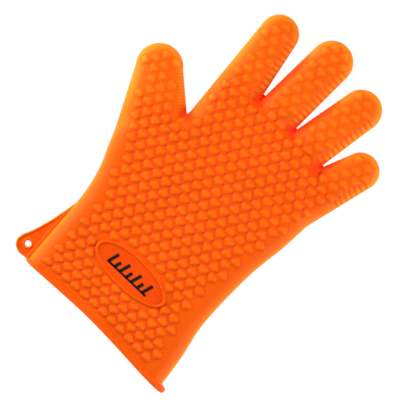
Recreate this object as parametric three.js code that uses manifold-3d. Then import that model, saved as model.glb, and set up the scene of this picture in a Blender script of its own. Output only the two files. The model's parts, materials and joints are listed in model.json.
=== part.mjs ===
// A heat resistant barbecue glove, moulded in one piece of silicone rubber and shaped to fit either hand.
// It lies on its back with the badge side up. +Y runs from the cuff to the fingertips, +X from the thumb
// side to the little finger side, and the plane it lies on is z = 0. All dimensions are in millimetres.
//
// The moulding is hollow, open at the cuff, and bends where the wearer's wrist and fingers bend. Each
// stretch between two bends is a mesh of its own, and a V-shaped cut at each bend leaves the room that
// the soft wall takes up when the glove closes.
import * as THREE from "three";
import { mergeVertices } from "three/addons/utils/BufferGeometryUtils.js";
import Module from "manifold-3d";

const wasm = await Module();
wasm.setup();

// ---------------------------------------------------------------- driving dimensions
const wall = 2.2;
const seam = 0.6; // slit between two stretches at a bend
const bendAllowance = 1; // degrees that each V-cut is wider than its bend needs
const partingHeight = 14; // mid-height of the cuff, where the two halves of the mould meet
const cuffEnd = -132.5;
const cuffTop = 2 * partingHeight;

// The hand and cuff, as stations along Y: left edge, right edge, half depth and rim radius in plan.
const handStations = [
  { y: cuffEnd, left: -48.4, right: 80.2, halfDepth: 14, rim: 13 },
  { y: -120, left: -49.0, right: 78.6, halfDepth: 14, rim: 13 },
  { y: -104, left: -49.9, right: 76.3, halfDepth: 14, rim: 13 },
  { y: -82, left: -51.0, right: 73.2, halfDepth: 14, rim: 13 },
  { y: -62, left: -53.2, right: 72.0, halfDepth: 14, rim: 13 },
  { y: -45, left: -57.2, right: 72.1, halfDepth: 14, rim: 13 },
  { y: -30, left: -63.2, right: 72.6, halfDepth: 14, rim: 13 },
  { y: -15, left: -67.0, right: 74.0, halfDepth: 13.9, rim: 13 },
  { y: -2, left: -62.0, right: 75.4, halfDepth: 13.6, rim: 13 },
  { y: 12, left: -46.0, right: 76.6, halfDepth: 13.1, rim: 12.5 },
  { y: 24, left: -37.0, right: 77.0, halfDepth: 12.5, rim: 12 },
  { y: 35, left: -35.0, right: 75.0, halfDepth: 12, rim: 11.5 },
  { y: 45, left: -31.0, right: 70.0, halfDepth: 11.4, rim: 11 },
  { y: 53, left: -26.0, right: 60.0, halfDepth: 10, rim: 9 },
  { y: 57.5, left: -22.0, right: 52.0, halfDepth: 7.5, rim: 7 },
];

// Each digit is a tapered tube with a round tip. lean is its angle from +Y towards +X, length runs from
// its root to the centre of its tip, and each bend sits at a distance back from that centre.
const digits = [
  {
    name: "thumb", tip: [-75.5, 33.3], lean: -37.2, length: 60,
    root: { radius: 28.6, halfDepth: 13.8 }, end: { radius: 16.4, halfDepth: 11.2 },
    bends: [{ back: 22.8, flex: 50 }, { back: 1.8, flex: 55 }],
  },
  {
    name: "index", tip: [-29.8, 108.3], lean: -7.4, length: 86,
    root: { radius: 18.7, halfDepth: 12.2 }, end: { radius: 13.7, halfDepth: 10.1 },
    bends: [{ back: 37.2, flex: 60 }, { back: 13.8, flex: 70 }],
  },
  {
    name: "middle", tip: [10.7, 119.8], lean: 2.0, length: 80,
    root: { radius: 16.1, halfDepth: 12.0 }, end: { radius: 15.4, halfDepth: 10.4 },
    bends: [{ back: 47.8, flex: 60 }, { back: 20.0, flex: 70 }],
  },
  {
    name: "ring", tip: [49.5, 109.7], lean: 10.7, length: 72,
    root: { radius: 16.1, halfDepth: 12.0 }, end: { radius: 14.3, halfDepth: 10.2 },
    bends: [{ back: 40.5, flex: 60 }, { back: 15.5, flex: 70 }],
  },
  {
    name: "little", tip: [78.8, 77.6], lean: 19.0, length: 60,
    root: { radius: 17.6, halfDepth: 11.8 }, end: { radius: 13.5, halfDepth: 9.8 },
    bends: [{ back: 20.6, flex: 55 }, { back: 3.6, flex: 60 }],
  },
];
const segmentNames = ["base", "tip"];

const wrist = { at: new THREE.Vector2(10, -57), height: partingHeight, flex: 50 };

const bead = { length: 2.2, proud: 1.2 };
const tab = {
  thickness: 2.6,
  top: [-51.5, -77],
  edge: [[-53.2, -92], [-57.0, -106]],
  corner: { x: -57.0, y: -122.8, radius: 7.2 },
  hole: { x: -56.2, y: -121.4, radius: 2.3 },
  clearance: 1.6, // from the cuff's side, so that the flap can turn
};
const badge = { x: 10.9, y: -86.3, halfLength: 31.8, halfWidth: 12.5, recess: 1, panel: 0.6, rim: 1.7, rimRise: 0.8 };
const printLift = 0.05; // keeps the print and the panel apart
const mark = { count: 6, pitch: 6.4, height: 8, stroke: 2.6, sway: 1.3, bar: 1.5, thickness: 0.3 };
const clearance = 0.3; // between a piece and the piece that it lies on
const handRoom = 6; // kept clear of the hand around each digit's moving stretches
const digitSides = 20; // corners around a digit
const rimSteps = 9; // corners around each rounded side of the hand

// ---------------------------------------------------------------- solids
const up = new THREE.Vector3(0, 0, 1);
const far = 400; // reaches past the glove from anywhere in it

/** A closed three.js geometry as a manifold solid. */
function solidOf(geometry) {
  const bare = geometry.clone();
  bare.deleteAttribute("normal");
  bare.deleteAttribute("uv");
  const merged = mergeVertices(bare, 1e-4);
  return new wasm.Manifold(
    new wasm.Mesh({
      numProp: 3,
      vertProperties: merged.attributes.position.array,
      triVerts: new Uint32Array(merged.index.array),
    }),
  );
}

/** A manifold solid as a three.js geometry. */
function geometryOf(solid) {
  const mesh = solid.getMesh();
  const geometry = new THREE.BufferGeometry();
  geometry.setAttribute("position", new THREE.BufferAttribute(new Float32Array(mesh.vertProperties), 3));
  geometry.setIndex(new THREE.BufferAttribute(new Uint32Array(mesh.triVerts), 1));
  geometry.computeVertexNormals();
  return geometry;
}

/** A closed surface through rings of points, each ring anticlockwise seen from the end of the loft. */
function loft(rings) {
  const sides = rings[0].length;
  const points = rings.flat();
  const faces = [];
  for (let r = 0; r + 1 < rings.length; r++) {
    for (let i = 0; i < sides; i++) {
      const a = r * sides + i;
      const b = r * sides + ((i + 1) % sides);
      faces.push(a, b, b + sides, a, b + sides, a + sides);
    }
  }
  const last = (rings.length - 1) * sides;
  for (let i = 1; i + 1 < sides; i++) {
    faces.push(0, i + 1, i);
    faces.push(last, last + i, last + i + 1);
  }
  const geometry = new THREE.BufferGeometry().setFromPoints(points);
  geometry.setIndex(faces);
  return solidOf(geometry);
}

/** A section across the hand: flat above and below, with a rounded rim on each side. */
function handRing({ y, left, right, halfDepth, rim }, inset) {
  const height = halfDepth - inset;
  const radius = rim - inset;
  const ring = [];
  for (const side of [1, -1]) {
    const centre = side > 0 ? right - rim : left + rim;
    for (let i = 0; i < rimSteps; i++) {
      const angle = side * (Math.PI / 2) * (1 - (2 * i) / (rimSteps - 1));
      const x = centre + side * radius * Math.cos(angle);
      ring.push(new THREE.Vector3(x, y, halfDepth + height * Math.sin(angle)));
    }
  }
  return ring;
}

/** The hand and cuff, drawn in by inset. reach moves the first station out past the cuff. */
function handSolid(inset, reach = 0) {
  const last = handStations.length - 1;
  const rings = handStations.map((station, i) => {
    const y = station.y + (i === 0 ? -reach : i === last ? -inset : 0);
    return handRing({ ...station, y }, inset);
  });
  return loft(rings);
}

/** Direction of a digit in plan, from root to tip. */
function directionOf(digit) {
  const lean = THREE.MathUtils.degToRad(digit.lean);
  return new THREE.Vector3(Math.sin(lean), Math.cos(lean), 0);
}

/** Radius and half depth of a digit, a share of the way from root to tip. */
function sizeAt(digit, share) {
  const mix = THREE.MathUtils.lerp;
  return {
    radius: mix(digit.root.radius, digit.end.radius, share),
    halfDepth: mix(digit.root.halfDepth, digit.end.halfDepth, share),
  };
}

/** One digit, drawn in by inset: an oval tube whose underside lies on z = 0, closed by a round tip. */
function digitSolid(digit, inset) {
  const bulge = 2 / 2.4; // a little squarer than an ellipse
  const along = directionOf(digit);
  const across = along.clone().cross(up);
  const tip = new THREE.Vector3(...digit.tip, 0);
  const ring = (distance, { radius, halfDepth }, shrink) =>
    Array.from({ length: digitSides }, (_, i) => {
      const angle = (2 * Math.PI * i) / digitSides;
      const wide = Math.sign(Math.cos(angle)) * Math.abs(Math.cos(angle)) ** bulge;
      const high = Math.sign(Math.sin(angle)) * Math.abs(Math.sin(angle)) ** bulge;
      return tip
        .clone()
        .addScaledVector(along, distance)
        .addScaledVector(across, wide * (radius - inset) * shrink)
        .addScaledVector(up, halfDepth + high * (halfDepth - inset) * shrink);
    });
  const rings = [0, 0.35, 0.7, 1].map((share) => ring((share - 1) * digit.length, sizeAt(digit, share), 1));
  for (const turn of [25, 45, 62, 78]) {
    const angle = THREE.MathUtils.degToRad(turn);
    rings.push(ring((digit.end.radius - inset) * Math.sin(angle), digit.end, Math.cos(angle) ** 0.9));
  }
  return loft(rings.map((points) => points.reverse()));
}

/** All the room past a bend. With side 1 it is what the moving stretch keeps, and with side -1 what the
 * fixed stretch gives up. The slit lies between the two, and above the hinge the V-cut. */
function pastBend({ at, height, flex, along }, side) {
  const slope = Math.tan(THREE.MathUtils.degToRad(flex / 2 + bendAllowance));
  const start = (side * seam) / 2;
  const outline = new THREE.Shape([
    new THREE.Vector2(start, -far),
    new THREE.Vector2(far, -far),
    new THREE.Vector2(far, far),
    new THREE.Vector2(start + side * far * slope, far),
    new THREE.Vector2(start, 0),
  ]);
  const width = 2 * far;
  const geometry = new THREE.ExtrudeGeometry(outline, { depth: width, bevelEnabled: false });
  const across = along.clone().cross(up);
  geometry.applyMatrix4(new THREE.Matrix4().makeBasis(along, up, across));
  const corner = new THREE.Vector3(at.x, at.y, height).addScaledVector(across, -width / 2);
  return solidOf(geometry.translate(corner.x, corner.y, corner.z));
}

/** The hinge of one of a digit's bends. */
function bendOf(digit, { back, flex }) {
  const along = directionOf(digit);
  const at = new THREE.Vector2(digit.tip[0] - back * along.x, digit.tip[1] - back * along.y);
  return { at, height: sizeAt(digit, 1 - back / digit.length).halfDepth, flex, along };
}

/** A plate of an outline drawn in plan, from low to high. */
function plate(outline, low, high) {
  const geometry = new THREE.ExtrudeGeometry(outline, { depth: high - low, bevelEnabled: false, curveSegments: 14 });
  return solidOf(geometry.translate(0, 0, low));
}

function ellipse(halfLength, halfWidth) {
  const outline = new THREE.Shape();
  outline.absellipse(badge.x, badge.y, halfLength, halfWidth, 0, 2 * Math.PI);
  return outline;
}

// ---------------------------------------------------------------- pieces
const silicone = new THREE.MeshStandardMaterial({ color: 0xff6a1a, roughness: 0.45, metalness: 0 });
const ink = new THREE.MeshStandardMaterial({ color: 0x0d0b10, roughness: 0.5, metalness: 0 });
const glove = new THREE.Group();

function add(name, solid, material = silicone) {
  const mesh = new THREE.Mesh(geometryOf(solid), material);
  mesh.name = name;
  glove.add(mesh);
}

const cavity = digits.reduce((all, digit) => all.add(digitSolid(digit, wall)), handSolid(wall, 20));
const wristBend = { ...wrist, along: new THREE.Vector3(0, -1, 0) };

/** The hand between the wrist and the digits' first bends. */
function palmShell() {
  let shell = handSolid(0);
  for (const digit of digits) {
    shell = shell.subtract(digitSolid(digit, -handRoom).intersect(pastBend(bendOf(digit, digit.bends[0]), -1)));
  }
  for (const digit of digits) {
    shell = shell.add(digitSolid(digit, 0).subtract(pastBend(bendOf(digit, digit.bends[0]), -1)));
  }
  return shell.subtract(cavity).subtract(pastBend(wristBend, -1));
}

/** The band at the cuff's edge, which stands proud of the wall. */
function cuffBead() {
  const band = plate(
    new THREE.Shape([
      new THREE.Vector2(-far, cuffEnd),
      new THREE.Vector2(far, cuffEnd),
      new THREE.Vector2(far, cuffEnd + bead.length),
      new THREE.Vector2(-far, cuffEnd + bead.length),
    ]),
    0,
    far,
  );
  return handSolid(-bead.proud, 20).intersect(band).subtract(cavity);
}

/** The wall below the wrist, which the wearer pulls on by. */
function cuffShell() {
  const edge = new THREE.Shape([
    new THREE.Vector2(-far, -far),
    new THREE.Vector2(far, -far),
    new THREE.Vector2(far, cuffEnd + bead.length + clearance),
    new THREE.Vector2(-far, cuffEnd + bead.length + clearance),
  ]);
  const recess = plate(ellipse(badge.halfLength + clearance, badge.halfWidth + clearance), cuffTop - badge.recess, far);
  const shell = handSolid(0).subtract(cavity).intersect(pastBend(wristBend, 1));
  return shell.subtract(plate(edge, -far, far)).subtract(recess);
}

/** One stretch of a digit, from its own bend to the next one or to the fingertip. */
function digitSegment(digit, index) {
  let shell = digitSolid(digit, 0).subtract(cavity).intersect(pastBend(bendOf(digit, digit.bends[index]), 1));
  const next = digit.bends[index + 1];
  if (next) shell = shell.subtract(pastBend(bendOf(digit, next), -1));
  return shell;
}

/** The flap at the cuff's corner, with its hole for a hook. */
function hangTab() {
  const { corner, hole } = tab;
  const outline = new THREE.Shape();
  outline.moveTo(-40, tab.top[1]);
  outline.lineTo(...tab.top);
  outline.splineThru([...tab.edge, [corner.x - corner.radius, corner.y + 4]].map((p) => new THREE.Vector2(...p)));
  outline.absarc(corner.x, corner.y, corner.radius, 0.85 * Math.PI, 1.5 * Math.PI);
  outline.lineTo(-40, corner.y - corner.radius);
  outline.holes.push(new THREE.Path().absarc(hole.x, hole.y, hole.radius, 0, 2 * Math.PI, true));
  const low = partingHeight - tab.thickness / 2;
  return plate(outline, low, low + tab.thickness).subtract(handSolid(-tab.clearance, 20));
}

/** The oval panel that carries the maker's mark, with a raised rim. */
function badgePanel() {
  const low = cuffTop - badge.recess + clearance;
  const top = low + badge.panel;
  const { halfLength, halfWidth, rim } = badge;
  const raised = plate(ellipse(halfLength, halfWidth), low, top + badge.rimRise);
  return raised.subtract(plate(ellipse(halfLength - rim, halfWidth - rim), top, far));
}

/** The printed mark: plain wavy strokes that rise from a bar, for heat. */
function badgePrint() {
  const { count, pitch, height, stroke, sway, bar, thickness } = mark;
  const steps = 8;
  const low = cuffTop - badge.recess + clearance + badge.panel + printLift;
  const foot = badge.y - height / 2;
  const halfSpan = ((count - 1) * pitch + stroke) / 2;
  const barOutline = new THREE.Shape([
    new THREE.Vector2(badge.x - halfSpan, foot),
    new THREE.Vector2(badge.x + halfSpan, foot),
    new THREE.Vector2(badge.x + halfSpan, foot + bar),
    new THREE.Vector2(badge.x - halfSpan, foot + bar),
  ]);
  let print = plate(barOutline, low, low + thickness);
  for (let i = 0; i < count; i++) {
    const x = badge.x + (i - (count - 1) / 2) * pitch;
    const edge = (side) =>
      Array.from({ length: steps + 1 }, (_, k) => {
        const share = k / steps;
        const half = (stroke / 2) * (1 - 0.7 * share ** 3);
        const middle = x + sway * Math.sin(2 * Math.PI * share);
        return new THREE.Vector2(middle + side * half, foot + share * height);
      });
    const outline = new THREE.Shape([...edge(1), ...edge(-1).reverse()]);
    print = print.add(plate(outline, low, low + thickness));
  }
  return print;
}

add("palm_shell", palmShell());
add("cuff_shell", cuffShell());
add("cuff_bead", cuffBead());
add("hang_tab", hangTab());
add("badge_panel", badgePanel());
add("badge_print", badgePrint(), ink);
for (const digit of digits) {
  segmentNames.forEach((segment, i) => add(`${digit.name}_${segment}`, digitSegment(digit, i)));
}

export default glove;
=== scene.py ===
import json
import math

import bpy
import numpy as np
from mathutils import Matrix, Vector


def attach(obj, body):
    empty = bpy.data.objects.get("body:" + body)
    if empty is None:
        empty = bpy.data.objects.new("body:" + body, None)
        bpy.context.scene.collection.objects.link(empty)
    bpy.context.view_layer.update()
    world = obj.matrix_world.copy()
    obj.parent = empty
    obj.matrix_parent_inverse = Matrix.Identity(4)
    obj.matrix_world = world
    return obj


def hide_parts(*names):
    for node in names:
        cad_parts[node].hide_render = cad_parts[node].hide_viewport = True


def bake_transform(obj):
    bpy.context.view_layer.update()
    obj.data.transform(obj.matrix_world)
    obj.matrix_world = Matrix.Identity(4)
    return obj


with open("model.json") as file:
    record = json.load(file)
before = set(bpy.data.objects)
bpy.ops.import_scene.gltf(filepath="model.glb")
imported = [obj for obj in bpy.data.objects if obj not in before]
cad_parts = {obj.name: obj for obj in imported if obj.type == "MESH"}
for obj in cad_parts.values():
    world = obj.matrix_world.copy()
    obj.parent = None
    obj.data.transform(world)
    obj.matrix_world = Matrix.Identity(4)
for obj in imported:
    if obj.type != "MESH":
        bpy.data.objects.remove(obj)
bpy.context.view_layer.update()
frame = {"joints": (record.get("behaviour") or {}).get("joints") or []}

# A silicone barbecue glove seen from straight above. Shapes are worked out in millimetres in the CAD
# frame and turned into metres when each mesh is made.
MM = 0.001

# ------------------------------------------------------------------ driving dimensions
WALL = 3.2  # from the tops of the nubs to the inner face
RELIEF = 1.25  # height of the nubs on the hand
DIGIT_RELIEF = 0.7  # share of that height on the digits
PLAIN_TONE = 0.5  # colour of the plain skin, on a scale where the tops of the nubs are 1, painted lighter as a painted highlight
GROOVE_PAINTED_SHADE = 0.2  # and of the grooves, painted darker as painted shade between the nubs
DIGIT_PAINTED_LIGHT = 0.25  # painted light: how much lighter the digits are painted, in place of light coming through them from below
RIM_PAINTED_LIGHT = 0.65  # painted light: how much lighter the rolled rim is painted, in place of light coming through the edge and falling on it
BADGE_PAINTED_SHADE = 0.4  # painted shade: how much deeper the badge's colour is painted
SQUARENESS = 2.4  # of every cross-section: 2 is an ellipse
OUTER_STEP = 0.62  # size of the faces outside
INNER_STEP = 1.7  # size of the faces inside
CUFF_END = -132.5  # y of the cuff's mouth
PARTING = 14.0  # mid-height of the cuff
CUFF_CUT = -71.0  # the cuff's skin ends here, and the wrist's begins
PALM_CUT = -43.0  # and the wrist's ends here, and the palm's begins
ZONE_MARGIN = 1.0  # kept between the points worked out along each digit and the edge of its skin; those points are not used
EVEN_PACE = 150.0  # keeps the two sides of a cut in step as they are joined, in millimetres a turn
SHORT_RING = 20  # an open ring of fewer points than this is a stray corner, not a cut

# Hand and cuff: y, left edge, right edge, half depth.
HAND = [
    (-150.0, -47.9, 82.6, 14.0),
    (-132.5, -48.4, 81.1, 14.0),
    (-120.0, -49.0, 79.8, 14.0),
    (-104.0, -49.9, 77.6, 14.0),
    (-82.0, -51.0, 73.2, 14.0),
    (-62.0, -53.2, 72.0, 14.0),
    (-45.0, -57.6, 72.1, 14.0),
    (-30.0, -63.7, 72.6, 14.0),
    (-15.0, -67.5, 74.2, 13.9),
    (-2.0, -62.4, 76.1, 13.6),
    (12.0, -46.0, 77.3, 13.1),
    (24.0, -37.0, 77.6, 12.5),
    (35.0, -35.0, 75.0, 12.0),
    (45.0, -31.0, 70.0, 11.4),
    (53.0, -26.0, 65.0, 10.8),
    (57.5, -22.0, 61.0, 10.5),
    (70.0, -12.0, 48.0, 10.0),
]
# How far the cuff's edge is drawn in from a straight line: x, distance.
BOW = [(-50.0, 1.6), (-20.0, 2.8), (10.0, 3.4), (40.0, 2.0), (65.0, 0.2), (84.0, -0.6)]
BOW_START = -95.0  # y from which it is drawn in
HAND_RIM = 13.0  # how far in from the hand's edge its faces become flat
# The hand's edge behind the forks of the fingers: x, y.
FORKS = [
    (-40.0, 50.0),
    (-25.0, 58.0),
    (-7.5, 64.0),
    (10.0, 66.0),
    (25.0, 64.4),
    (40.0, 62.5),
    (55.5, 60.0),
    (75.0, 50.0),
]
FORK_RIM = 5.0  # how far in from there they become flat

# Digits: centre of the tip, lean from +Y towards +X, length to the root, radius and half depth at the
# root and at the tip, and plain margins left and right of the nubs. Bends come from the CAD joints.
DIGITS = {
    "thumb": ((-75.0, 33.3), -37.2, 60, (28.6, 13.8), (16.9, 11.2), (7.5, 5.5)),
    "index": ((-29.8, 108.2), -7.4, 86, (18.7, 12.2), (14.1, 10.1), (3.5, 6.0)),
    "middle": ((10.7, 119.4), 2.0, 80, (16.1, 12.0), (15.4, 10.4), (3.0, 6.0)),
    "ring": ((49.5, 109.2), 10.7, 72, (16.1, 12.0), (14.8, 10.2), (3.0, 6.0)),
    "little": ((78.8, 77.6), 19.0, 60, (17.6, 11.8), (13.5, 9.8), (3.0, 5.0)),
}
ROOT_CUT = -8.7  # where a digit's skin begins, along the digit from its first bend
NO_PART = 1.3  # a point this far out, in a digit's half widths, is no part of it
MERGE = 0.025  # how softly the digits and the hand run into each other
FAR_OUT = 4.0  # a part this many half widths away has no say in the outline
DEPTH_PULL = 5.0  # how quickly a part's half depth gives way to its neighbour's
FAR_OFF = 3.0  # and from this many half widths away it counts no less
BEAD_LAP = 0.4  # how far inside the bead the skin begins
GLOVE_BOX = ((-95.0, CUFF_END + BEAD_LAP, -1.0), (97.0, 137.0, 29.4))  # corners of the space meshed

# Heart-shaped nubs on a centred lattice. Every other row points the other way.
NUB_PITCH = (8.75, 13.14)
NUB_ORIGIN = (1.95, 2.9)
NUB_STAGGER = 0.8  # how much further the rows that turn their lobes to each other stand apart
NUB_HEIGHT = 4.0  # of the heart in plan, from its point to its notch
NUB_ROUND = 0.95  # added all round the heart, which rounds its corners
NUB_EDGE = 2.3  # width of the nub's rounded shoulder
NUB_EDGE_ROOM = 3.2  # from a nub's centre to the edge of the nubbed area
NUB_DROP = 0.52  # how far the heart's point lies from the nub's centre, as a share of its height
NUB_SKIRT = 0.35  # how far the shoulder reaches past the heart's outline
NUB_DOME = 1.8  # how round the shoulder is: 1 is a straight slope
SHADE_HALO = (-2.2, -0.9)  # painted shade: where the plain skin's colour gives way to the grooves' darker colour, outside the outline
FACING = (0.35, 0.85)  # how squarely a face looks up or down where grooves start and where they are full

# Plain margins: y, left margin, right margin of the hand and cuff.
MARGINS = [
    (-135.0, 7.5, 10.0),
    (-100.0, 8.5, 11.0),
    (-60.0, 8.5, 11.0),
    (-20.0, 9.0, 7.0),
    (60.0, 6.5, 6.5),
]
TIP_MARGIN = 2.5  # round a digit's tip
TIP_RUN = 4.0  # how far before and after the centre of a digit's tip its margins change
CUFF_MARGIN = 6.0  # beside the cuff's mouth
BADGE_ROOM = 2.3  # from the badge's rim to the centre of the nearest nub

# Where two digits meet. The skin is plain round each of these points.
CROTCHES = [(-38.1, 22.0), (-7.4, 64.8), (25.0, 64.7), (56.1, 59.7)]
CROTCH_ROOM = 7.5
PAINTED_GLOW_RADIUS = 3.6  # radius of the painted red glow round them, in place of light coming through the web

# Ribs across the flanks: pitch, depth and how narrow each groove is, and which digits' flanks have which.
RIBS = {"fine": (2.2, 0.25, 2), "coarse": (4.1, 0.9, 9)}
FLANKS = {
    "thumb": (None, "fine"),
    "index": ("fine", "coarse"),
    "middle": (None, "coarse"),
    "ring": (None, "coarse"),
    "little": (None, "coarse"),
}
RIB_BAND = (0.8, 7.5)  # distance from a digit's edge in plan
RIB_FADE = (0.8, 2.0)  # how softly the ribs end at either edge of that band
RIB_RUN = (-12.0, -4.0, -2.0, 4.0)  # they fade in before the first bend, and out round the tip
RIB_PAINTED_SHADE = 0.9  # painted shade: how much deeper the colour is painted in a rib 1 mm deep

# Painted red glow: how much redder a left flank is painted, where it faces the next digit, in place of
# light passed between the digits.
FLANK_PAINTED_GLOW = {"middle": 1.5, "ring": 1.5, "little": 1.3}
PAINTED_GLOW_RUN = (-14.0, -6.0, -22.0, -4.0)  # it fades in before the first bend, and out before the tip
PAINTED_GLOW_EDGE = (0.62, 0.95)  # and in over this stretch of the way out to the digit's outline
PAINTED_GLOW_REACH = 1.2  # no further out than this, in the digit's half widths
FORK_PAINTED_GLOW = 2.3  # and how much redder the skin is painted in the forks, as painted glow

RIM_PAINTED_LIGHT_EDGE = (0.5, 0.95)  # the rim's painted light comes in over this stretch of the way out to the outline
CUFF_LINE = {"from_end": 4.4, "width": 0.6, "depth": 0.45}  # the shallow groove beside the cuff's bead
DIGIT_RUN = (-12.0, 8.0)  # the hand's relief and colour change into the digit's over this length

BADGE = {
    "centre": (10.9, -86.3),
    "half": (31.8, 12.5),  # half length and half width, to the outside of the rim
    "rim": 2.2,  # width of the rim
    "let_in": 0.4,  # depth of the rim's middle line below the grooves
    "rise": 0.9,  # height of the rim above that line, beyond the nubs' own height
    "under": 0.3,  # depth of the rim's root below it
    "sunk": 0.7,  # depth of the floor below the tops of the nubs
}
BADGE_STEP = 0.97  # where the badge's floor starts to rise, as a share of its half size
MARK = {
    "count": 7,
    "pitch": 5.4,
    "tall": 8.4,
    "short": 5.2,
    "stroke": 2.2,  # width of a stroke
    "lean": 2.4,  # how far a tall stroke's top is ahead of its foot
    "bar": 1.5,  # width of the bar
    "thick": 0.3,
    "foot": 0.2,  # how far above the bar's middle line a stroke starts
    "let_in": 0.1,  # how far the print is let into the badge's floor
}
BEAD = {
    "length": 2.8,  # along the cuff
    "proud": 1.2,  # of the cuff's edges, in plan
    "inset": 0.2,  # from the wall's inner face
    "lip": 3.2,  # how much further proud the lip is
    "lip_length": 1.6,  # and how much longer
    "lip_run": (70.0, 80.0),  # x where it starts, and where it is full
}
TAB = {
    "edge": [(-74, -51.0), (-82, -52.5), (-97, -55.7), (-106, -58.3), (-112.6, -60.6), (-119.5, -63.6)],
    "corner": (-57.0, -122.8, 7.2),  # x, y and radius
    "hole": (-56.2, -121.4, 2.2),  # x, y and radius
    "half_thickness": 1.0,
    "rim_rise": 0.5,  # extra half thickness of the rim
    "root_rise": 0.6,  # and where it joins the cuff
    "roll": 0.9,  # radius of the rolled edge
    "rim_in": (0.1, 0.6),  # the rim rises over this distance in from the outline
    "rim_out": (1.1, 1.7),  # and falls over this
    "root": (-2.5, -1.5),  # the join thickens over this distance from the cuff's edge
    "light": (0.8, 2.0),  # the edge's painted light goes over this distance in
    "bridge_top": -104.0,  # y up to which the space between the corner and the cuff is filled
    "lap": 2.0,  # how far the tab is let into the cuff
    "half_height": 2.4,  # of the space it is meshed in
}
EDGE_SLOPE = 0.95  # the distance to the sloping edge, as a share of the distance along x
OUTSIDE = -9  # a depth well outside the flap
TAB_SOFT = 0.6  # how softly the flap's outline runs into its round corner
TAB_BOX = ((-66.0, -131.0), (-46.0, -75.0))  # low and high corner, in plan, of the space it is meshed in


# ------------------------------------------------------------------ small helpers
def clamp(value, low=0.0, high=1.0):
    """The value, kept between low and high."""
    return np.minimum(np.maximum(value, low), high)


def ease(value, start, end):
    """0 before start, 1 after end, and smooth between them."""
    share = clamp((value - start) / (end - start))
    return share * share * (3 - 2 * share)


def curve(at, table, column):
    """A smooth curve through a column of the table, read off at its first column."""
    knots = np.array([row[0] for row in table], float)
    values = np.array([row[column] for row in table], float)
    slopes = np.gradient(values, knots)
    at = clamp(at, knots[0], knots[-1])
    i = clamp(np.searchsorted(knots, at) - 1, 0, len(knots) - 2).astype(int)
    span = knots[i + 1] - knots[i]
    u = (at - knots[i]) / span
    left = (1 + 2 * u) * (1 - u) ** 2 * values[i] + u * (1 - u) ** 2 * span * slopes[i]
    right = u * u * (3 - 2 * u) * values[i + 1] - u * u * (1 - u) * span * slopes[i + 1]
    return left + right


# ------------------------------------------------------------------ digits, from the CAD joints
def joint_named(name):
    """The CAD joint of that name."""
    return next(j for j in frame["joints"] if j["name"] == name)


class Digit:
    """A digit in plan: s runs along it from its first bend and t across it, both in millimetres."""

    def __init__(self, name, tip, lean, length, root, end, margins):
        self.name = name
        lean = math.radians(lean)
        self.along = np.array([math.sin(lean), math.cos(lean)])
        self.across = np.array([math.cos(lean), -math.sin(lean)])
        joints = [joint_named(f"{name}_{part}_flex") for part in ("base", "tip")]
        self.bends = [np.array(joint["pos_m"]) / MM for joint in joints]
        self.tip = float((np.array(tip) - self.bends[0][:2]) @ self.along)
        self.length = length
        self.root = root
        self.end = end
        self.margins = margins
        self.spacing = float((self.bends[1] - self.bends[0])[:2] @ self.along)

    def place(self, x, y):
        """s and t of points in plan."""
        dx = x - self.bends[0][0]
        dy = y - self.bends[0][1]
        return dx * self.along[0] + dy * self.along[1], dx * self.across[0] + dy * self.across[1]

    def size(self, s):
        """The digit's radius and half depth at s."""
        share = clamp((s - self.tip) / self.length + 1)
        radius = self.root[0] + (self.end[0] - self.root[0]) * share
        depth = self.root[1] + (self.end[1] - self.root[1]) * share
        return radius, depth

    def edge(self, x, y):
        """0 on the digit's axis and 1 on its outline, with its half depth."""
        s, t = self.place(x, y)
        radius, depth = self.size(s)
        past = np.maximum(s - self.tip, 0) + np.maximum(self.tip - self.length - s, 0)
        return np.hypot(t, past) / radius, depth

    def point(self, s):
        """A point on the digit's axis, in metres."""
        x, y = self.bends[0][:2] + self.along * s
        return Vector((x * MM, y * MM, self.bends[0][2] * MM))


digits = [Digit(name, *sizes) for name, sizes in DIGITS.items()]


# ------------------------------------------------------------------ the glove's outer shape
def hand_edge(x, y):
    """Distance in from the hand's outline, to the left, the right and the forks, in plan."""
    return x - curve(y, HAND, 1), curve(y, HAND, 2) - x, curve(x, FORKS, 1) - y


def hand_field(x, y):
    """0 on the hand's flat faces and 1 on its outline, with its half depth."""
    left, right, top = hand_edge(x, y)
    inside = np.minimum(np.minimum(left, right) / HAND_RIM, top / FORK_RIM)
    return 1 - np.minimum(inside, 1), curve(y, HAND, 3)


def plan(x, y):
    """0 well inside the glove's outline in plan and 1 on it, and the half depth there."""
    parts = [hand_field(x, y)] + [digit.edge(x, y) for digit in digits]
    total = sum(np.exp(-np.minimum(edge, FAR_OUT) / MERGE) for edge, _ in parts)
    edge = np.maximum(-MERGE * np.log(total), 0)
    weights = [np.exp(-DEPTH_PULL * np.minimum(edge_, FAR_OFF) ** 2) for edge_, _ in parts]
    depth = sum(w * depth_ for w, (_, depth_) in zip(weights, parts)) / sum(weights)
    return edge, depth


def hull(edge, depth, z):
    """Negative inside the glove and 0 on its outer surface."""
    high = np.abs(z - depth) / depth
    return (edge**SQUARENESS + high**SQUARENESS) ** (1 / SQUARENESS) - 1


def glove(points):
    """The same field at any points in space."""
    edge, depth = plan(points[:, 0], points[:, 1])
    return hull(edge, depth, points[:, 2])


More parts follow.
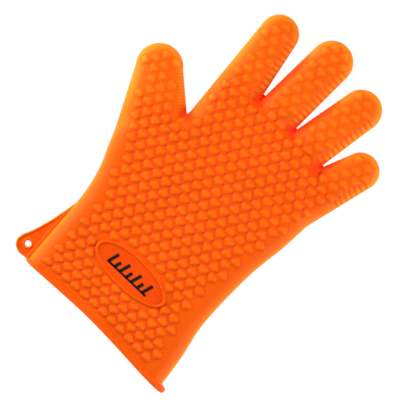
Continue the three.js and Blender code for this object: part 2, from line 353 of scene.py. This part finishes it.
# ------------------------------------------------------------------ meshing a field
def surface_net(values, origin, step):
    """A mesh of quads where the values on a grid change sign, facing the positive side."""
    inside = values < 0
    counts = sum(
        inside[i : i - 1 or None, j : j - 1 or None, k : k - 1 or None].astype(np.int8)
        for i in (0, 1) for j in (0, 1) for k in (0, 1)
    )
    cells = np.argwhere((counts > 0) & (counts < 8))
    index = np.full(counts.shape, -1, np.int64)
    index[tuple(cells.T)] = np.arange(len(cells))
    corners = np.array([(i, j, k) for i in (0, 1) for j in (0, 1) for k in (0, 1)])
    total = np.zeros((len(cells), 3))
    hits = np.zeros(len(cells))
    for a in corners:
        for axis in range(3):
            if a[axis]:
                continue
            b = a.copy()
            b[axis] = 1
            low = values[tuple((cells + a).T)]
            high = values[tuple((cells + b).T)]
            crossing = (low < 0) != (high < 0)
            share = np.where(crossing, low / np.where(crossing, low - high, 1), 0)
            total += np.where(crossing[:, None], a + share[:, None] * (b - a), 0)
            hits += crossing
    points = origin + step * (cells + total / hits[:, None])
    quads = []
    for axis in range(3):
        first, second = (axis + 1) % 3, (axis + 2) % 3
        low = inside.take(range(0, inside.shape[axis] - 1), axis)
        high = inside.take(range(1, inside.shape[axis]), axis)
        for solid_first in (True, False):
            edges = np.argwhere((low == solid_first) & (high != solid_first))
            keep = (edges[:, first] > 0) & (edges[:, second] > 0)
            keep &= edges[:, first] < counts.shape[first]
            keep &= edges[:, second] < counts.shape[second]
            edges = edges[keep]
            ring = []
            for back_first, back_second in ((1, 1), (0, 1), (0, 0), (1, 0)):
                cell = edges.copy()
                cell[:, first] -= back_first
                cell[:, second] -= back_second
                ring.append(index[tuple(cell.T)])
            quad = np.stack(ring, 1)
            quads.append(quad if solid_first else quad[:, ::-1])
    return points, np.concatenate(quads)


def gradient(field, points, reach=0.05):
    """The slope of the field at each point."""
    slope = np.empty_like(points)
    for axis in range(3):
        offset = np.zeros(3)
        offset[axis] = reach
        slope[:, axis] = (field(points + offset) - field(points - offset)) / (2 * reach)
    return slope


def settle(field, points, rounds=3):
    """The points moved onto the surface of the field, and the directions out of it."""
    for _ in range(rounds):
        slope = gradient(field, points)
        length = np.maximum((slope**2).sum(1), 1e-6)
        points = points - slope * (field(points) / length)[:, None]
    slope = gradient(field, points)
    return points, slope / np.linalg.norm(slope, axis=1)[:, None]


def glove_surface(step):
    """The glove's smooth outer surface, open at the cuff."""
    low = np.array(GLOVE_BOX[0])
    high = np.array(GLOVE_BOX[1])
    axes = [np.arange(a, b + step, step) for a, b in zip(low, high)]
    x, y = np.meshgrid(axes[0], axes[1], indexing="ij")
    edge, depth = plan(x, y)
    values = hull(edge[:, :, None], depth[:, :, None], axes[2][None, None, :])
    points, quads = surface_net(values, low, step)
    points, normals = settle(glove, points)
    return points, quads, normals


def draw_in(points):
    """The points with the cuff's end pulled in to its bowed edge."""
    pulled = points.copy()
    pulled[:, 1] += curve(points[:, 0], BOW, 1) * ease(-points[:, 1], -BOW_START, -CUFF_END)
    return pulled


def vertex_normals(points, quads):
    """Normals of a mesh of quads, averaged over the faces round each vertex."""
    across = np.cross(points[quads[:, 2]] - points[quads[:, 0]], points[quads[:, 3]] - points[quads[:, 1]])
    total = np.zeros_like(points)
    for corner in range(4):
        np.add.at(total, quads[:, corner], across)
    return total / np.maximum(np.linalg.norm(total, axis=1), 1e-9)[:, None]


# ------------------------------------------------------------------ relief
def heart(x, y):
    """Signed distance to a heart 1 high with its point at the origin, standing on +Y. Negative inside."""
    x = np.abs(x)
    lobe = np.hypot(x - 0.25, y - 0.75) - math.sqrt(2) / 4
    notch = np.hypot(x, y - 1)
    along = np.maximum(x + y, 0) / 2
    side = np.hypot(x - along, y - along) * np.sign(x - y)
    return np.where(x + y > 1, lobe, np.minimum(notch, np.abs(side)) * np.sign(side))


def nubbed(x, y):
    """Whether a nub centred here would be clear of the plain margins."""
    left, right, top = hand_edge(x, y)
    clear = left > curve(y, MARGINS, 1) + NUB_EDGE_ROOM
    clear &= right > curve(y, MARGINS, 2) + NUB_EDGE_ROOM
    clear &= top > FORK_RIM
    clear &= y > CUFF_END + CUFF_MARGIN + NUB_EDGE_ROOM
    for digit in digits:
        edge, _ = digit.edge(x, y)
        s, t = digit.place(x, y)
        radius, _ = digit.size(s)
        at_tip = ease(s, digit.tip - TIP_RUN, digit.tip + TIP_RUN)
        margin = np.where(t < 0, *digit.margins) * (1 - at_tip) + TIP_MARGIN * at_tip
        clear |= (1 - edge) * radius > margin + 0.5 * NUB_EDGE_ROOM
    for cx, cy in CROTCHES:
        clear &= np.hypot(x - cx, y - cy) > CROTCH_ROOM
    bx = (x - BADGE["centre"][0]) / (BADGE["half"][0] + BADGE_ROOM)
    by = (y - BADGE["centre"][1]) / (BADGE["half"][1] + BADGE_ROOM)
    return clear & (bx * bx + by * by > 1)


def nub_height(x, y):
    """1 on top of a nub and 0 between the nubs, and 1 in and just round every nub, where the grooves'
    painted shade goes.
    """
    height = np.zeros_like(x)
    shade_halo = np.zeros_like(x)
    for shift, stagger, way in ((0.0, 0.0, 1.0), (0.5, NUB_STAGGER, -1.0)):
        column = NUB_ORIGIN[0]
        row = NUB_ORIGIN[1] + stagger
        cx = column + NUB_PITCH[0] * (np.round((x - column) / NUB_PITCH[0] - shift) + shift)
        cy = row + NUB_PITCH[1] * (np.round((y - row) / NUB_PITCH[1] - shift) + shift)
        outline = heart((x - cx) / NUB_HEIGHT, way * (y - cy) / NUB_HEIGHT + NUB_DROP)
        inside = NUB_ROUND - outline * NUB_HEIGHT
        here = nubbed(cx, cy)
        dome = 1 - (1 - clamp((inside + NUB_SKIRT) / NUB_EDGE)) ** NUB_DOME
        height = np.maximum(height, dome * here)
        shade_halo = np.maximum(shade_halo, ease(inside, *SHADE_HALO) * here)
    return height, shade_halo


def rib_depth(x, y):
    """Depth of the grooves across the digits' flanks."""
    depth = np.zeros_like(x)
    nearest = np.full_like(x, 9.0)
    fade_in, full, fade_out, end = RIB_RUN
    for digit in digits:
        edge, _ = digit.edge(x, y)
        s, t = digit.place(x, y)
        radius, _ = digit.size(s)
        inward = (1 - edge) * radius
        band = ease(inward, RIB_BAND[0] - RIB_FADE[0], RIB_BAND[0])
        band = band * (1 - ease(inward, RIB_BAND[1] - RIB_FADE[1], RIB_BAND[1]))
        run = ease(s, fade_in, full) * (1 - ease(s, digit.tip + fade_out, digit.tip + end))
        own = edge < nearest
        nearest = np.minimum(nearest, edge)
        depth = np.where(own, 0, depth)
        for side, kind in zip((-1, 1), FLANKS[digit.name]):
            if kind is None:
                continue
            pitch, deep, narrow = RIBS[kind]
            wave = (0.5 - 0.5 * np.cos(2 * np.pi * s / pitch)) ** narrow
            depth = np.where(own & (side * t > 0), deep * band * run * wave, depth)
    return depth


def painted_glow(x, y):
    """The painted red glow: how much redder the skin is painted on the flanks that face another digit and
    round the forks, in place of light passed between the digits and through the web.
    """
    painted_red = np.zeros_like(x)
    fade_in, full, fade_out, end = PAINTED_GLOW_RUN
    for digit in digits:
        if digit.name not in FLANK_PAINTED_GLOW:
            continue
        edge, _ = digit.edge(x, y)
        s, t = digit.place(x, y)
        run = ease(s, fade_in, full) * (1 - ease(s, digit.tip + fade_out, digit.tip + end))
        flank = ease(edge, *PAINTED_GLOW_EDGE) * (t < 0) * (edge < PAINTED_GLOW_REACH)
        painted_red = np.maximum(painted_red, FLANK_PAINTED_GLOW[digit.name] * run * flank)
    for cx, cy in CROTCHES:
        away = ((x - cx) ** 2 + (y - cy) ** 2) / PAINTED_GLOW_RADIUS**2
        painted_red = np.maximum(painted_red, FORK_PAINTED_GLOW * np.exp(-away))
    return painted_red


def on_digits(x, y):
    """1 on the digits and 0 on the hand, and smooth between them."""
    shares = []
    for digit in digits:
        s, _ = digit.place(x, y)
        edge, _ = digit.edge(x, y)
        shares.append(ease(s, *DIGIT_RUN) * (edge < NO_PART))
    return np.max(shares, axis=0)


def badge_inside(x, y):
    """1 in the badge's sunk oval."""
    bx = (x - BADGE["centre"][0]) / BADGE["half"][0]
    by = (y - BADGE["centre"][1]) / BADGE["half"][1]
    return 1 - ease(np.hypot(bx, by), BADGE_STEP, 1.0)


def relieve(points, normals):
    """The smooth surface pressed in between the nubs, and the tone of each point's colour, with its
    painted light, shade and glow.
    """
    x, y, z = points.T
    facing = ease(np.abs(normals[:, 2]), *FACING)
    height, shade_halo = nub_height(x, y)
    on_badge = badge_inside(x, y) * (z > PARTING)
    on_digit = on_digits(x, y)
    softer = 1 - (1 - DIGIT_RELIEF) * on_digit
    sunk = RELIEF * softer * (1 - height)
    sunk = sunk + (BADGE["sunk"] - sunk) * on_badge
    from_line = (y - CUFF_END - CUFF_LINE["from_end"]) / CUFF_LINE["width"]
    line = CUFF_LINE["depth"] * np.exp(-(from_line**2))
    ribs = rib_depth(x, y) * (1 - height)
    depth = facing * sunk + ribs + line
    # Painted light and shade: the nubs' tops are painted lighter and the grooves round them darker.
    nub_light_and_shade = GROOVE_PAINTED_SHADE + (1 - GROOVE_PAINTED_SHADE) * height
    # Painted shade: the ribs' grooves are painted deeper too.
    tone = PLAIN_TONE + (nub_light_and_shade - PLAIN_TONE) * shade_halo * softer * (1 - on_badge) - RIB_PAINTED_SHADE * ribs
    # Painted light: the digits are painted lighter.
    # Painted shade: the badge is painted deeper.
    tone = tone - BADGE_PAINTED_SHADE * on_badge + DIGIT_PAINTED_LIGHT * on_digit
    # Painted light: the rolled rim is painted lighter.
    tone = tone + RIM_PAINTED_LIGHT * ease(plan(x, y)[0], *RIM_PAINTED_LIGHT_EDGE)
    # Painted glow: the facing flanks and the forks are painted redder.
    return points - normals * depth[:, None], tone - painted_glow(x, y)


# ------------------------------------------------------------------ meshes and pieces
def make_mesh(name, points, faces, normals=None, tone=None):
    """A mesh object from millimetres. rest keeps where each point was before the glove bends.

    relief is each point's tone, painted light and shade included, which the rubber's colour and glow
    follow.
    """
    mesh = bpy.data.meshes.new(name)
    mesh.from_pydata(points * MM, [], faces.tolist() if isinstance(faces, np.ndarray) else faces)
    mesh.polygons.foreach_set("use_smooth", np.ones(len(mesh.polygons), bool))
    rest = mesh.attributes.new("rest", "FLOAT_VECTOR", "POINT")
    rest.data.foreach_set("vector", (points * MM).astype(np.float32).ravel())
    relief = mesh.attributes.new("relief", "FLOAT", "POINT")
    tone = np.full(len(points), PLAIN_TONE) if tone is None else tone
    relief.data.foreach_set("value", tone.astype(np.float32))
    if normals is not None:
        mesh.normals_split_custom_set_from_vertices(normals.tolist())
    mesh.update()
    obj = bpy.data.objects.new(name, mesh)
    bpy.context.scene.collection.objects.link(obj)
    return obj


def regions(points, faces):
    """The piece that each face belongs to."""
    x, y, _ = points[faces].mean(1).T
    below_palm = np.where(y > CUFF_CUT, "wrist_skin", "cuff_skin")
    label = np.where(y > PALM_CUT, "palm_skin", below_palm).astype("<U16")
    nearest = np.full(len(x), NO_PART)
    for digit in digits:
        edge, _ = digit.edge(x, y)
        s, _ = digit.place(x, y)
        own = edge < nearest
        here = own & (s > ROOT_CUT)
        part = np.where(s < digit.spacing / 2, f"{digit.name}_root_skin", f"{digit.name}_end_skin")
        label = np.where(own & ~here & np.char.endswith(label, "_end_skin"), "palm_skin", label)
        label = np.where(here, part, label)
        nearest = np.minimum(nearest, edge)
    return label


def cut_out(points, faces, *columns):
    """The points that the faces use, with the faces renumbered."""
    used, flat = np.unique(faces, return_inverse=True)
    return (points[used], flat.reshape(faces.shape)) + tuple(column[used] for column in columns)


def open_rings(faces):
    """The open edges of a mesh of quads, chained into rings of point numbers."""
    edges = np.concatenate([faces[:, [corner, (corner + 1) % 4]] for corner in range(4)])
    count = int(edges.max()) + 1
    forward = edges[:, 0] * count + edges[:, 1]
    backward = edges[:, 1] * count + edges[:, 0]
    ways = {}
    for start, end in edges[~np.isin(forward, backward)].tolist():
        ways.setdefault(start, []).append(end)
    rings = []
    while ways:
        at = next(iter(ways))
        ring = []
        while at in ways:
            ring.append(at)
            ends = ways[at]
            step = ends.pop()
            if not ends:
                del ways[at]
            at = step
        if len(ring) > SHORT_RING:
            rings.append(np.array(ring))
    return rings


def way_round(points, ring):
    """How far round the ring each point lies, from 0 at the first to 1 on coming back to it."""
    steps = np.linalg.norm(points[np.roll(ring, -1)] - points[ring], axis=1)
    return np.concatenate([[0], np.cumsum(steps)]) / steps.sum()


def rim_between(points, outer, inner):
    """Triangles across the wall from one ring to another that runs the other way round."""
    inner = inner[::-1]
    start = np.linalg.norm(points[inner] - points[outer[0]], axis=1).argmin()
    inner = np.roll(inner, -int(start))
    outer_way = way_round(points, outer)
    inner_way = way_round(points, inner)
    triangles = []
    i = j = 0
    while i < len(outer) or j < len(inner):
        a = outer[i % len(outer)]
        b = inner[j % len(inner)]
        a_next = outer[(i + 1) % len(outer)]
        b_next = inner[(j + 1) % len(inner)]
        to_outer = to_inner = math.inf
        if i < len(outer):
            lead = abs(outer_way[i + 1] - inner_way[j])
            to_outer = np.linalg.norm(points[a_next] - points[b]) + EVEN_PACE * lead
        if j < len(inner):
            lead = abs(outer_way[i] - inner_way[j + 1])
            to_inner = np.linalg.norm(points[a] - points[b_next]) + EVEN_PACE * lead
        if to_outer <= to_inner:
            triangles.append((a_next, a, b))
            i += 1
        else:
            triangles.append((a, b, b_next))
            j += 1
    return triangles


def rims(points, outer_faces, inner_faces):
    """The cut faces of the wall all round a skin: triangles that close its outside to its inside."""
    triangles = []
    spare = open_rings(inner_faces)
    for outer in open_rings(outer_faces):
        if not spare:
            break
        centre = points[outer].mean(0)
        away = [np.linalg.norm(points[inner].mean(0) - centre) for inner in spare]
        triangles += rim_between(points, outer, spare.pop(int(np.argmin(away))))
    return np.array(triangles)


def glove_skins():
    """Each skin as one closed mesh: its outside, its inside and the rims between them."""
    smooth, outer_faces, out = glove_surface(OUTER_STEP)
    outer, tone = relieve(smooth, out)
    outer = draw_in(outer)
    outer_normals = vertex_normals(outer, outer_faces)
    outer_label = regions(smooth, outer_faces)
    inner_smooth, inner_faces, inner_out = glove_surface(INNER_STEP)
    inner = draw_in(inner_smooth - inner_out * WALL)
    inner_faces = inner_faces[:, ::-1]
    inner_normals = vertex_normals(inner, inner_faces)
    inner_label = regions(inner_smooth, inner_faces)
    skins = {}
    for name in sorted(set(outer_label)):
        own = outer_label == name
        shell, shell_faces, *shell_columns = cut_out(outer, outer_faces[own], outer_normals, tone)
        shell_normals, shell_tone = shell_columns
        own = inner_label == name
        lining, lining_faces, lining_normals = cut_out(inner, inner_faces[own], inner_normals)
        lining_faces = lining_faces + len(shell)
        points = np.concatenate([shell, lining])
        rim, rim_faces = cut_out(points, rims(points, shell_faces, lining_faces))
        rim_normals = vertex_normals(rim, rim_faces[:, [0, 1, 2, 2]])
        rim_faces = rim_faces + len(points)
        faces = shell_faces.tolist() + lining_faces.tolist() + rim_faces.tolist()
        normals = np.concatenate([shell_normals, lining_normals, rim_normals])
        tones = np.concatenate([shell_tone, np.full(len(lining) + len(rim), PLAIN_TONE)])
        skins[name] = make_mesh(name, np.concatenate([points, rim]), faces, normals, tones)
    return skins


def tube_faces(count, sides):
    """The faces of a closed tube of count rings with sides points each, numbered ring by ring."""
    i, j = np.meshgrid(np.arange(count), np.arange(sides), indexing="ij")
    here = i * sides
    ahead = (i + 1) % count * sides
    turn = (j + 1) % sides
    corners = (here + j, here + turn, ahead + turn, ahead + j)
    return np.stack([corner.ravel() for corner in corners], 1)


# ------------------------------------------------------------------ cuff bead
def cuff_loop(y, count):
    """Points round the cuff at y with the directions out of it, both in the plane of y."""
    left = float(curve(np.array([y]), HAND, 1)[0]) + HAND_RIM
    right = float(curve(np.array([y]), HAND, 2)[0]) - HAND_RIM
    power = 2 / SQUARENESS
    corners = []
    for side, centre in ((1, right), (-1, left)):
        for step in np.linspace(-1, 1, 200):
            angle = side * step * math.pi / 2
            wide = HAND_RIM * math.cos(angle) ** power
            high = PARTING * math.copysign(abs(math.sin(angle)) ** power, math.sin(angle))
            corners.append((centre + side * wide, PARTING + high))
    corners = np.array(corners + corners[:1])
    run = np.concatenate([[0], np.cumsum(np.linalg.norm(np.diff(corners, axis=0), axis=1))])
    at = np.linspace(0, run[-1], count, endpoint=False)
    ring = np.stack([np.interp(at, run, corners[:, i]) for i in (0, 1)], 1)
    way = np.roll(ring, -1, 0) - np.roll(ring, 1, 0)
    out = np.stack([way[:, 1], -way[:, 0]], 1)
    return ring, out / np.linalg.norm(out, axis=1)[:, None]


def cuff_bead():
    """A rounded band round the cuff's mouth that flares into a small lip at the little finger's side."""
    count = 420
    sides = 20
    roundness = 2 / 3
    ring, out = cuff_loop(CUFF_END, count)
    at_lip = ease(ring[:, 0], *BEAD["lip_run"])
    length = BEAD["length"] + BEAD["lip_length"] * at_lip
    outer = BEAD["proud"] + BEAD["lip"] * at_lip
    inner = BEAD["inset"] - WALL
    points = []
    for i in range(sides):
        angle = 2 * math.pi * i / sides
        along = math.copysign(abs(math.sin(angle)) ** roundness, math.sin(angle)) * length / 2
        wide = math.copysign(abs(math.cos(angle)) ** roundness, math.cos(angle))
        reach = (outer + inner) / 2 + wide * (outer - inner) / 2
        x = ring[:, 0] + out[:, 0] * reach
        y = CUFF_END + length / 2 + along
        z = ring[:, 1] + out[:, 1] * np.minimum(reach, 0.0)
        points.append(np.stack([x, y, z], 1))
    points = np.stack(points, 1).reshape(-1, 3)
    return make_mesh("cuff_edge", draw_in(points), tube_faces(count, sides))


# ------------------------------------------------------------------ hang tab
def tab_depth(x, y):
    """Distance in from the tab's outline in plan. Negative outside."""
    rows = TAB["edge"][::-1]
    knots = np.array([row[0] for row in rows], float)
    edges = np.array([row[1] for row in rows], float)
    side = x - np.interp(y, knots, edges)
    side = np.where((y < knots[-1]) & (y > knots[0]), side * EDGE_SLOPE, OUTSIDE)
    cx, cy, radius = TAB["corner"]
    corner = radius - np.hypot(x - cx, y - cy)
    flap = TAB_SOFT * np.logaddexp(side / TAB_SOFT, corner / TAB_SOFT)
    bridge = np.minimum(np.minimum(x - cx, y - cy + radius), TAB["bridge_top"] - y)
    flap = TAB_SOFT * np.logaddexp(flap / TAB_SOFT, bridge / TAB_SOFT)
    right = curve(y, HAND, 1) + TAB["lap"] - x
    hx, hy, hole = TAB["hole"]
    return np.minimum(np.minimum(flap, right), np.hypot(x - hx, y - hy) - hole)


def tab_field(points):
    """Negative inside the tab: a flat flap with a thicker rim, and thickest where it joins the cuff."""
    x, y, z = points.T
    depth = tab_depth(x, y)
    rim = ease(depth, *TAB["rim_in"]) * (1 - ease(depth, *TAB["rim_out"]))
    near_cuff = ease(x - curve(y, HAND, 1), *TAB["root"])
    half = TAB["half_thickness"] + TAB["rim_rise"] * rim * (1 - near_cuff) + TAB["root_rise"] * near_cuff
    roll = np.maximum(1 - depth / TAB["roll"], 0)
    return np.sqrt(roll**2 + ((z - PARTING) / half) ** 2) - 1


def hang_tab():
    """The flap beside the cuff, meshed from its field."""
    step = 0.3
    low = np.array([*TAB_BOX[0], PARTING - TAB["half_height"]])
    high = np.array([*TAB_BOX[1], PARTING + TAB["half_height"]])
    axes = [np.arange(a, b + step, step) for a, b in zip(low, high)]
    grid = np.stack(np.meshgrid(*axes, indexing="ij"), -1)
    values = tab_field(grid.reshape(-1, 3)).reshape(grid.shape[:3])
    points, faces = surface_net(values, low, step)
    points, _ = settle(tab_field, points, 2)
    # Painted light: the flap's edge is painted lighter, as on the rolled rim.
    light = 1 - ease(tab_depth(points[:, 0], points[:, 1]), *TAB["light"])
    return make_mesh("hang_flap", points, faces, tone=PLAIN_TONE + RIM_PAINTED_LIGHT * light)


# ------------------------------------------------------------------ badge
def badge_ring():
    """The raised oval rim round the badge, let into the cuff's top."""
    count = 240
    sides = 12
    half_x, half_y = BADGE["half"]
    middle_z = 2 * PARTING - RELIEF - BADGE["let_in"]
    points = []
    for i in range(count):
        angle = 2 * math.pi * i / count
        for j in range(sides):
            turn = 2 * math.pi * j / sides
            reach = BADGE["rim"] / 2 * math.cos(turn) - BADGE["rim"] / 2
            height = RELIEF + BADGE["rise"] if j < sides / 2 else BADGE["under"]
            points.append((
                BADGE["centre"][0] + (half_x + reach) * math.cos(angle),
                BADGE["centre"][1] + (half_y + reach) * math.sin(angle),
                middle_z + height * math.sin(turn),
            ))
    outward = tube_faces(count, sides)[:, [0, 3, 2, 1]]
    return make_mesh("badge_rim", np.array(points), outward)


def slab(points, width, z, thick):
    """A flat stroke of even width along a line of points, as points and faces."""
    line = np.array(points)
    way = np.gradient(line, axis=0)
    side = np.stack([-way[:, 1], way[:, 0]], 1)
    side *= width / 2 / np.linalg.norm(side, axis=1)[:, None]
    rows = []
    for shift, height in ((1, 0), (-1, 0), (-1, thick), (1, thick)):
        rows.append(np.column_stack([line + shift * side, np.full(len(line), z + height)]))
    verts = np.stack(rows, 1).reshape(-1, 3)
    faces = []
    for i in range(len(line) - 1):
        for j in range(4):
            a = i * 4 + j
            b = i * 4 + (j + 1) % 4
            faces.append((a, b, b + 4, a + 4))
    last = (len(line) - 1) * 4
    faces.append((3, 2, 1, 0))
    faces.append((last, last + 1, last + 2, last + 3))
    return verts, faces


def badge_mark():
    """A row of plain leaning strokes on a bar, in place of any wording."""
    z = 2 * PARTING - BADGE["sunk"] - MARK["let_in"]
    cx, cy = BADGE["centre"]
    foot = cy - MARK["tall"] / 2
    half_row = MARK["pitch"] * (MARK["count"] - 1) / 2
    strokes = []
    for i in range(MARK["count"]):
        height = MARK["short"] if i % 2 else MARK["tall"]
        rise = np.linspace(0, 1, 12)
        x = cx - half_row + i * MARK["pitch"] + MARK["lean"] * (rise - 0.5) * height / MARK["tall"]
        y = foot + MARK["foot"] + rise * (height - MARK["foot"])
        strokes.append((np.column_stack([x, y]), MARK["stroke"]))
    bar = np.linspace(cx - half_row - MARK["stroke"], cx + half_row + MARK["stroke"], 24)
    strokes.append((np.column_stack([bar, np.full(len(bar), foot)]), MARK["bar"]))
    points = []
    faces = []
    used = 0
    for line, width in strokes:
        stroke_points, stroke_faces = slab(line, width, z, MARK["thick"])
        points.append(stroke_points)
        faces += [tuple(k + used for k in face) for face in stroke_faces]
        used += len(stroke_points)
    mark = make_mesh("badge_strokes", np.concatenate(points), faces)
    mark.data.polygons.foreach_set("use_smooth", np.zeros(len(mark.data.polygons), bool))
    return mark


# ------------------------------------------------------------------ materials
RUBBER_TONES = (-1.0, 1.5)  # the tones at the two ends of the rubber's colours
# The low end is the painted red glow and shade, and the high end is the painted light of the rims and
# digits.
RUBBER = [
    (0.0, (1.0, 0.02, 0.001)),
    (0.4, (0.93, 0.070, 0.001)),
    (0.8, (0.98, 0.150, 0.002)),
    (1.0, (1.0, 0.28, 0.012)),
]
INK = [(0.35, (0.004, 0.003, 0.003)), (0.75, (0.012, 0.008, 0.006))]
PAPER = [(0.0, (0.08, 0.08, 0.08)), (1.0, (0.09, 0.09, 0.09))]


def node(tree, kind, **inputs):
    """A new node with its inputs set by name, with _ for a space."""
    made = tree.nodes.new(kind)
    for name, value in inputs.items():
        made.inputs[name.replace("_", " ")].default_value = value
    return made


def ramp(tree, stops):
    """A colour ramp with a list of positions and colours."""
    made = tree.nodes.new("ShaderNodeValToRGB")
    elements = made.color_ramp.elements
    for position, _ in stops[1:-1]:
        elements.new(position)
    for element, (position, colour) in zip(elements, stops):
        element.position = position
        element.color = (*colour, 1)
    return made


def silicone():
    """Orange silicone rubber, with painted shade in the grooves, a painted red glow in the forks and
    painted light on the rolled edges.
    """
    material = bpy.data.materials.new("silicone")
    material.use_nodes = True
    tree = material.node_tree
    link = tree.links.new
    shader = tree.nodes["Principled BSDF"]
    rest = tree.nodes.new("ShaderNodeAttribute")
    rest.attribute_name = "rest"
    tone = tree.nodes.new("ShaderNodeAttribute")
    tone.attribute_name = "relief"
    clouds = node(tree, "ShaderNodeTexNoise", Scale=38.0, Detail=3.0, Roughness=0.55)
    link(rest.outputs["Vector"], clouds.inputs["Vector"])
    grain = node(tree, "ShaderNodeTexNoise", Scale=1600.0, Detail=4.0, Roughness=0.6)
    link(rest.outputs["Vector"], grain.inputs["Vector"])
    level = node(tree, "ShaderNodeMapRange", From_Min=RUBBER_TONES[0], From_Max=RUBBER_TONES[1])
    link(tone.outputs["Fac"], level.inputs["Value"])
    colours = ramp(tree, RUBBER)
    link(level.outputs["Result"], colours.inputs["Fac"])
    tint = node(tree, "ShaderNodeHueSaturation")
    link(colours.outputs["Color"], tint.inputs["Color"])
    shade = node(tree, "ShaderNodeMapRange", From_Min=0.3, From_Max=0.7, To_Min=0.94, To_Max=1.05)
    link(clouds.outputs["Fac"], shade.inputs["Value"])
    link(shade.outputs["Result"], tint.inputs["Value"])
    link(tint.outputs["Color"], shader.inputs["Base Color"])
    dull = node(tree, "ShaderNodeMapRange", From_Min=0.3, From_Max=0.7, To_Min=0.48, To_Max=0.6)
    link(clouds.outputs["Fac"], dull.inputs["Value"])
    link(dull.outputs["Result"], shader.inputs["Roughness"])
    bump = node(tree, "ShaderNodeBump", Strength=0.25, Distance=0.0001)
    link(grain.outputs["Fac"], bump.inputs["Height"])
    link(bump.outputs["Normal"], shader.inputs["Normal"])
    # Painted glow: where the tone falls below 0, on the facing flanks and in the forks, the rubber gives
    # off red light of its own.
    glow = node(tree, "ShaderNodeMapRange", From_Min=0.0, From_Max=-0.8, To_Min=0.0, To_Max=0.8)
    link(tone.outputs["Fac"], glow.inputs["Value"])
    link(glow.outputs["Result"], shader.inputs["Emission Strength"])
    shader.inputs["Emission Color"].default_value = (1.0, 0.03, 0.004, 1)
    shader.inputs["IOR"].default_value = 1.41
    shader.inputs["Specular IOR Level"].default_value = 0.1
    return material


def ink():
    """Matt black print with a slight speckle."""
    material = bpy.data.materials.new("print")
    material.use_nodes = True
    tree = material.node_tree
    shader = tree.nodes["Principled BSDF"]
    place = tree.nodes.new("ShaderNodeTexCoord")
    speckle = node(tree, "ShaderNodeTexNoise", Scale=900.0, Detail=3.0)
    tree.links.new(place.outputs["Object"], speckle.inputs["Vector"])
    colours = ramp(tree, INK)
    tree.links.new(speckle.outputs["Fac"], colours.inputs["Fac"])
    tree.links.new(colours.outputs["Color"], shader.inputs["Base Color"])
    shader.inputs["Roughness"].default_value = 0.6
    shader.inputs["Specular IOR Level"].default_value = 0.2
    return material


# ------------------------------------------------------------------ build the glove
rubber = silicone()
black = ink()
skins = glove_skins()
edge_band = cuff_bead()
flap = hang_tab()
rim = badge_ring()
strokes = badge_mark()

for piece in list(skins.values()) + [edge_band, flap, rim]:
    piece.data.materials.append(rubber)
strokes.data.materials.append(black)

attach(skins["palm_skin"], "hand")
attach(skins["cuff_skin"], "cuff")
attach(edge_band, "cuff")
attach(rim, "cuff")
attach(strokes, "cuff")
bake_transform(skins["wrist_skin"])
for digit in digits:
    half = digit.spacing / 2
    root = skins[f"{digit.name}_root_skin"]
    end = skins[f"{digit.name}_end_skin"]
    digit.point(ROOT_CUT + 1.2)
    digit.point(half - ZONE_MARGIN)
    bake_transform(root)
    digit.point(half + ZONE_MARGIN)
    digit.point(digit.spacing + half - ZONE_MARGIN)
    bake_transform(end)
    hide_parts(f"{digit.name}_base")
    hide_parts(f"{digit.name}_tip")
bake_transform(flap)

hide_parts("palm_shell")
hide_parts("cuff_shell")
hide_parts("cuff_bead")
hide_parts("hang_tab")
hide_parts("badge_panel")
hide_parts("badge_print")


# ------------------------------------------------------------------ floor, light and camera
CENTRE = (0.0105, -0.0154)  # of the picture, on the floor
UP_TURN = math.atan2(0.690, 0.724)  # the picture's up, turned from +Y towards -X
HEIGHT = 1.6
FRAME_WIDTH = 0.2850  # of what the picture shows at the floor
SENSOR = 36
# Lamps: name, place, width and power. All are aimed at the middle of the floor.
LIGHTS = [
    ("key", (-0.9, 0.15, 0.55), 0.45, 9.4),
    ("side", (1.0, 0.2, 0.36), 0.5, 10.0),
    ("low", (-1.0, -0.3, 0.25), 0.4, 6.0),
]


def studio():
    """A pale floor, three soft lamps and a camera straight above."""
    bpy.ops.mesh.primitive_plane_add(size=6, location=(0, 0, -0.0005))
    floor = bpy.context.object
    floor.name = "floor"
    paper = bpy.data.materials.new("paper")
    paper.use_nodes = True
    tree = paper.node_tree
    shader = tree.nodes["Principled BSDF"]
    weave = node(tree, "ShaderNodeTexNoise", Scale=60.0, Detail=2.0)
    colours = ramp(tree, PAPER)
    tree.links.new(weave.outputs["Fac"], colours.inputs["Fac"])
    tree.links.new(colours.outputs["Color"], shader.inputs["Base Color"])
    shader.inputs["Roughness"].default_value = 0.9
    shader.inputs["Emission Color"].default_value = (1, 1, 1, 1)
    shader.inputs["Emission Strength"].default_value = 0.97
    floor.data.materials.append(paper)
    scene = bpy.context.scene
    world = bpy.data.worlds.new("studio")
    world.use_nodes = True
    world.node_tree.nodes["Background"].inputs["Color"].default_value = (1, 1, 1, 1)
    world.node_tree.nodes["Background"].inputs["Strength"].default_value = 0.3
    scene.world = world
    for name, place, size, power in LIGHTS:
        data = bpy.data.lights.new(name, "AREA")
        data.size = size
        data.energy = power
        lamp = bpy.data.objects.new(name, data)
        lamp.location = place
        lamp.rotation_euler = (Vector((0, 0, 0)) - Vector(place)).to_track_quat("-Z", "Y").to_euler()
        scene.collection.objects.link(lamp)
    data = bpy.data.cameras.new("camera")
    data.sensor_width = SENSOR
    data.lens = SENSOR * HEIGHT / FRAME_WIDTH
    camera = bpy.data.objects.new("camera", data)
    camera.location = (CENTRE[0], CENTRE[1], HEIGHT)
    camera.rotation_euler = (0, 0, UP_TURN)
    scene.collection.objects.link(camera)
    scene.camera = camera
    scene.view_settings.view_transform = "Standard"


studio()
